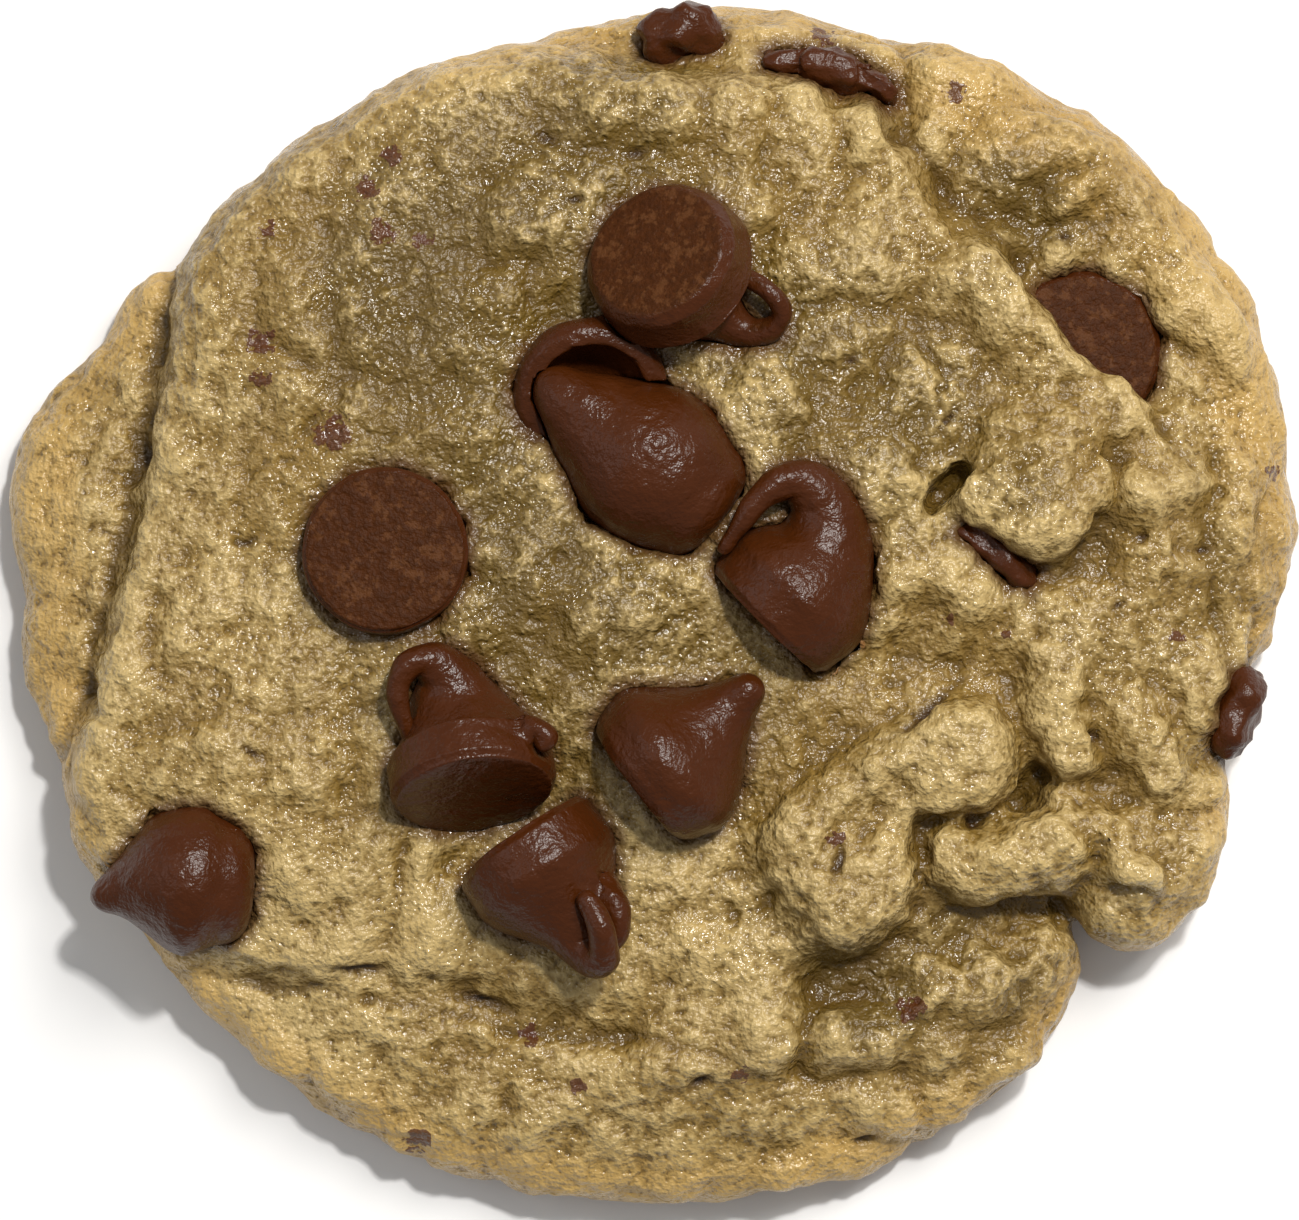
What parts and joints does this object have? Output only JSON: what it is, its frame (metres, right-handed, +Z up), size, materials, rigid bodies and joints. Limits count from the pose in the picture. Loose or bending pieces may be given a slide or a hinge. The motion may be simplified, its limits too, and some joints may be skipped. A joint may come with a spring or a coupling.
{
  "type": "chocolate chip cookie",
  "caption": "Round soft-baked cookie with folded, lumpy dough and chocolate chips set in its top and edges.",
  "frame": {"origin": "middle of the footprint, on the surface that the cookie lies on", "axes": "+Z up through the cookie's thickness, +Y away from the viewer of the picture taken from above, +X to the right, with the straight fold on the left"},
  "size_m": [0.08, 0.0748, 0.0171],
  "materials": {
    "baked_dough": "matte, crumbly, slightly greasy",
    "chocolate": "satin, softly melted"
  },
  "bodies": {
    "root": {"dough": "baked_dough", "chip_disc_top": "chocolate", "chip_disc_left": "chocolate", "chip_pressed": "chocolate", "chip_teardrop": "chocolate", "chip_curled_right": "chocolate", "chip_pointing_right": "chocolate", "chip_looped_left": "chocolate", "chip_hooked_front": "chocolate", "chip_edge_left": "chocolate", "chip_disc_right": "chocolate", "chunk_top": "chocolate", "chunk_under_edge": "chocolate", "chunk_under_flap": "chocolate", "chunk_edge_right": "chocolate"}
  },
  "joints": []
}
